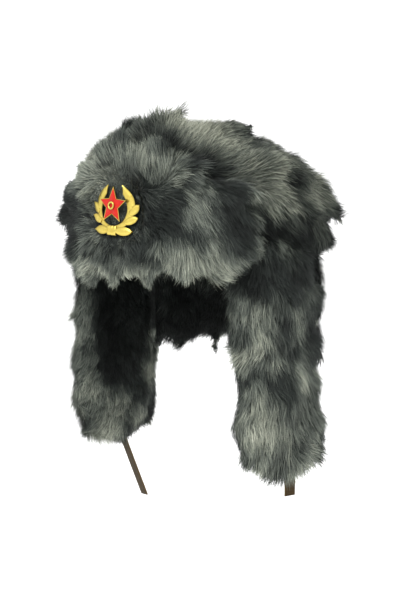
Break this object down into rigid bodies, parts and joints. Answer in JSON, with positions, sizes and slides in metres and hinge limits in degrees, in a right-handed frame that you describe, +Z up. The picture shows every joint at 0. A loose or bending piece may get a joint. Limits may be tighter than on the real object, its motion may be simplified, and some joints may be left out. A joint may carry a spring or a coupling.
{
  "type": "ushanka",
  "caption": "Fur-fabric winter hat with a puffy crown, a turned-up front flap with a star badge, hanging ear flaps with strap ties and a neck flap.",
  "frame": {"origin": "centre of the head opening, in the plane of the rim, where the hat sits on the head", "axes": "+Z up through the crown, -Y to the hat's front, +X to the wearer's left"},
  "size_m": [0.254, 0.2862, 0.3983],
  "materials": {
    "grey_fur": "long grey and black acrylic fur pile, mottled in patches",
    "black_pile": "short black pile",
    "strap": "matt olive-brown flat strap",
    "gilt": "stamped and polished gilt brass",
    "red_enamel": "glossy red enamel in a thin gilt edge"
  },
  "bodies": {
    "root": {"lining": "black_pile", "crown": "grey_fur", "front_flap": "grey_fur", "ear_flap_left": "grey_fur", "ear_flap_right": "grey_fur", "neck_flap": "grey_fur", "tie_left": "strap", "tie_right": "strap", "badge_wreath": "gilt", "badge_star": "red_enamel", "badge_boss": "gilt", "badge_pin": "gilt"}
  },
  "joints": []
}
